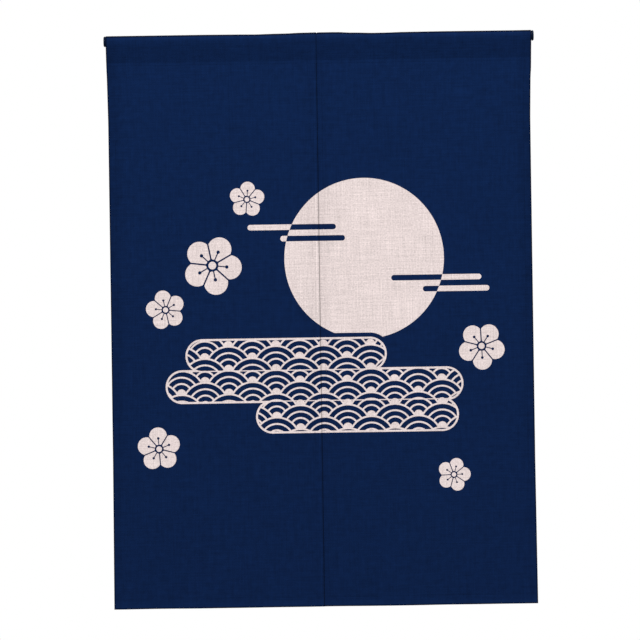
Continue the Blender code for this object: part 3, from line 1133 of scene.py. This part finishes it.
# Navy at the hem: painted shade, darker than NAVY at the rod
NAVY_PAINTED_SHADE_AT_HEM = (0.0025, 0.0125, 0.0550, 1.0)
PALE = (0.780, 0.672, 0.658, 1.0)
NAVY_WRONG_SIDE = (0.0100, 0.0240, 0.0720, 1.0)
CLOTH_ROUGHNESS = 0.9
CLOTH_SPECULAR = 0.05
SHEEN = 0.010
SHEEN_ROUGHNESS = 0.5
THREAD_PITCH = 0.00055
WEAVE_RELIEF = 0.00012
WEAVE_STRENGTH = 0.5
SLUB_RELIEF = 0.00050
SLUB_STRENGTH = 0.6
LEVEL_SLUBS = (16.0, 330.0, 1.0)
UPRIGHT_SLUBS = (330.0, 16.0, 1.0)
PRINT_GRAIN = (330.0, 330.0, 1.0)
DYE_PATCHES = (75.0, 75.0, 1.0)
MOTTLE = (9.0, 7.0, 1.0)
SLUB_CONTRAST = 0.38
GRAIN_CONTRAST = 0.66
PATCH_CONTRAST = 0.45
MOTTLE_CONTRAST = 0.10
# Strength of the painted shade of folds, and of the painted light on the bottom hem
HEM_SHADE = 0.12


def weave_height(tree, u, v):
    """cos(pi * u / pitch) * cos(pi * v / pitch), which is high where a thread crosses over."""
    turn = math.pi / THREAD_PITCH
    level = calc(tree, "COSINE", times(tree, u, turn))
    upright = calc(tree, "COSINE", times(tree, v, turn))
    return times(tree, level, upright)


def attribute(tree, name):
    """The mesh's own values of this name."""
    node = tree.nodes.new("ShaderNodeAttribute")
    node.attribute_name = name
    return node.outputs["Fac"]


def weave_tone_and_painted_shade(tree, flat, u, v, mask, slubs):
    """1 plus each unevenness times its contrast, less the painted fold shade, times both painted shades.
    """
    grain = minus(tree, noise(tree, flat, PRINT_GRAIN), 0.5)
    grain = times(tree, grain, GRAIN_CONTRAST)
    patches = minus(tree, noise(tree, flat, DYE_PATCHES), 0.5)
    patches = times(tree, patches, PATCH_CONTRAST)
    mottle = minus(tree, noise(tree, flat, MOTTLE, detail=1.0), 0.5)
    shade = calc(tree, "MULTIPLY_ADD", slubs, SLUB_CONTRAST, 1.0)
    shade = calc(tree, "ADD", shade, pick(tree, mask, grain, patches))
    shade = calc(tree, "MULTIPLY_ADD", mottle, MOTTLE_CONTRAST, shade)
    # painted shade of folds, and painted light on the stiff bottom hem
    shade = calc(tree, "MULTIPLY_ADD", attribute(tree, "layers"), -HEM_SHADE, shade)
    shade = times(tree, shade, crease_shade(tree, u, v))
    return times(tree, shade, edge_shade(tree, u, v))


def cloth_material():
    """Navy painted darker to the hem, wrong side, print, times the shade; weave and threads are relief."""
    material, tree, shader = new_surface("navy_linen_weave", CLOTH_ROUGHNESS, CLOTH_SPECULAR)
    shader.inputs["Sheen Weight"].default_value = SHEEN
    shader.inputs["Sheen Roughness"].default_value = SHEEN_ROUGHNESS
    uv = tree.nodes.new("ShaderNodeUVMap")
    uv.uv_map = "flat_cloth"
    flat = uv.outputs["UV"]
    parts = tree.nodes.new("ShaderNodeSeparateXYZ")
    tree.links.new(flat, parts.inputs["Vector"])
    u, v = parts.outputs["X"], parts.outputs["Y"]

    level, upright = noise(tree, flat, LEVEL_SLUBS), noise(tree, flat, UPRIGHT_SLUBS)
    slubs = minus(tree, calc(tree, "ADD", level, upright), 1.0)
    mask = times(tree, print_mask(tree, u, v), attribute(tree, "printed"))
    # navy painted darker towards the hem as painted shade, blended by path
    navy_with_painted_shade = blend_colour(tree, calc(tree, "DIVIDE", v, FRONT_PATH), NAVY_PAINTED_SHADE_AT_HEM, NAVY)
    ground = blend_colour(tree, attribute(tree, "wrong_side"), navy_with_painted_shade, NAVY_WRONG_SIDE)
    colour = blend_colour(tree, mask, ground, PALE)
    shade_base(tree, shader, colour, weave_tone_and_painted_shade(tree, flat, u, v, mask, slubs))

    threads = bump(tree, weave_height(tree, u, v), WEAVE_RELIEF, WEAVE_STRENGTH)
    relief = bump(tree, slubs, SLUB_RELIEF, SLUB_STRENGTH, threads)
    tree.links.new(relief, shader.inputs["Normal"])
    return material


navy_linen = cloth_material()
for cloth in cloths.values():
    cloth.data.materials.append(navy_linen)
print("cloth material has", len(navy_linen.node_tree.nodes), "nodes")

# %% [markdown]
# ## Tube, rubber and thread
#
# The tube's blue-black paint has fine drawing lines along it, and only a sliver of it shows. The rubber
# feet are matt navy with a faint mould texture. The panels are printed after they are sewn, so the thread
# has taken the same dye as the cloth beside it, and it shares the cloth's material.

# %% Other materials
RELIEF_STRENGTH = 0.6
Finish = namedtuple("Finish", "name colour roughness specular stretch contrast relief")
TUBE_PAINT = Finish(
    "black_tube_paint", (0.0036, 0.0078, 0.0220, 1.0), 0.50, 0.15, (30.0, 2500.0, 2500.0), 0.3, 0.00003)
FOOT_RUBBER = Finish(
    "navy_rubber", (0.0022, 0.0082, 0.0270, 1.0), 0.75, 0.08, (900.0, 900.0, 900.0), 0.4, 0.00004)


def textured(finish):
    """Noise of one stretch gives the colour its unevenness and the surface its fine relief."""
    material, tree, shader = new_surface(finish.name, finish.roughness, finish.specular)
    place = tree.nodes.new("ShaderNodeTexCoord").outputs["Object"]
    grain = noise(tree, place, finish.stretch)
    uneven = calc(tree, "MULTIPLY_ADD", minus(tree, grain, 0.5), finish.contrast, 1.0)
    shade_base(tree, shader, finish.colour, uneven)
    tree.links.new(bump(tree, grain, finish.relief, RELIEF_STRENGTH), shader.inputs["Normal"])
    return material


tube, rubber = textured(TUBE_PAINT), textured(FOOT_RUBBER)
for piece in stitches.values():
    piece.data.materials.append(navy_linen)
for cap in caps.values():
    cap.data.materials.append(rubber)
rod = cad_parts["rod"]
rod.data.materials.clear()
rod.data.materials.append(tube)
print("materials:", [m.name for m in (navy_linen, tube, rubber)])

# %% [markdown]
# ## Attaching each piece
#
# Every piece rides on the model's one body. The fine cloth and feet stand in for the plain solids, which
# are hidden. Each panel was cut to its width and whole path, plus 22 mm for each side hem, 29 mm for the
# bottom hem and 12 mm turned under behind.

for panel in PANELS:
    cloth, thread_lines = cloths[panel.node], stitches[panel.node]
    for piece in (cloth, thread_lines):
        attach(piece, BODY)
    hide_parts(panel.node)
for node, cap in caps.items():
    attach(cap, BODY)
    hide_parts(node)
